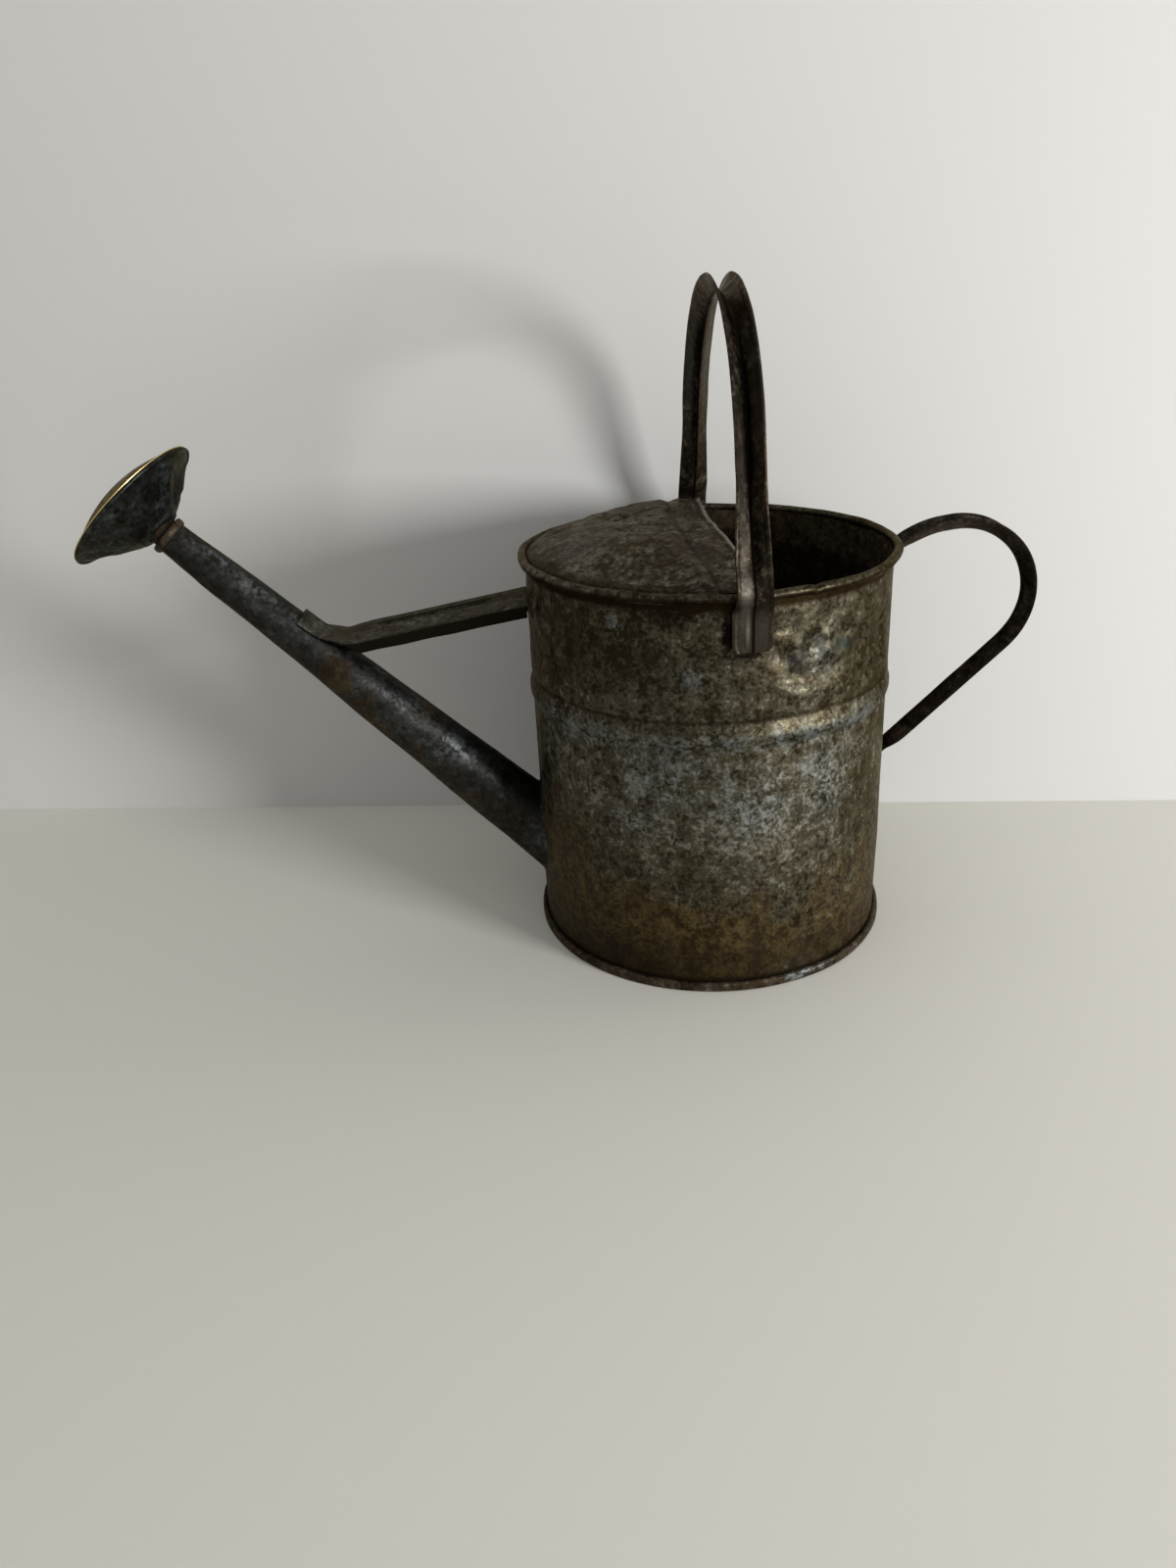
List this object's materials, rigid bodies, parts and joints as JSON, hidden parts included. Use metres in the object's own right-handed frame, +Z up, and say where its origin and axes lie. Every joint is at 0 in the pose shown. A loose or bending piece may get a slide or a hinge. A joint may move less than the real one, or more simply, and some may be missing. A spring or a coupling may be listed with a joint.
{
  "type": "watering can",
  "caption": "Weathered galvanised watering can with a half hood, tapered braced spout, pull-off rose, hoop carry handle and rear tipping handle.",
  "frame": {"origin": "centre of the can's foot, on the floor", "axes": "+Z up along the can's axis, the spout towards -X, the tipping handle towards +X, mirrored about the XZ plane"},
  "size_m": [0.5725, 0.2364, 0.3965],
  "materials": {
    "can_sheet": "weathered galvanised, mottled with rust",
    "wire": "rusty wire",
    "base_sheet": "rusty galvanised",
    "hood_sheet": "dull weathered galvanised",
    "spout_sheet": "dark weathered galvanised with rust",
    "ring": "rusty",
    "brace_sheet": "dull weathered galvanised",
    "hoop_strip": "dark worn rust",
    "rear_strip": "dark worn rust",
    "rose_neck": "dark oxidised",
    "rose_sheet": "dull dark galvanised",
    "rose_brass": "tarnished"
  },
  "bodies": {
    "can": {"body_wall": "can_sheet", "rim_wire": "wire", "base_plate": "base_sheet", "crown_hood": "hood_sheet", "spout_tube": "spout_sheet", "spout_ring": "ring", "spout_brace": "brace_sheet", "carry_handle": "hoop_strip", "rear_handle": "rear_strip"},
    "rose": {"rose_neck": "rose_neck", "rose_shell": "rose_sheet", "rose_face": "rose_brass"}
  },
  "joints": [
    {"name": "rose_pull", "type": "slide", "parent": "can", "child": "rose", "axis": [-0.7102, 0, 0.704], "range_m": [0, 0.06]}
  ]
}
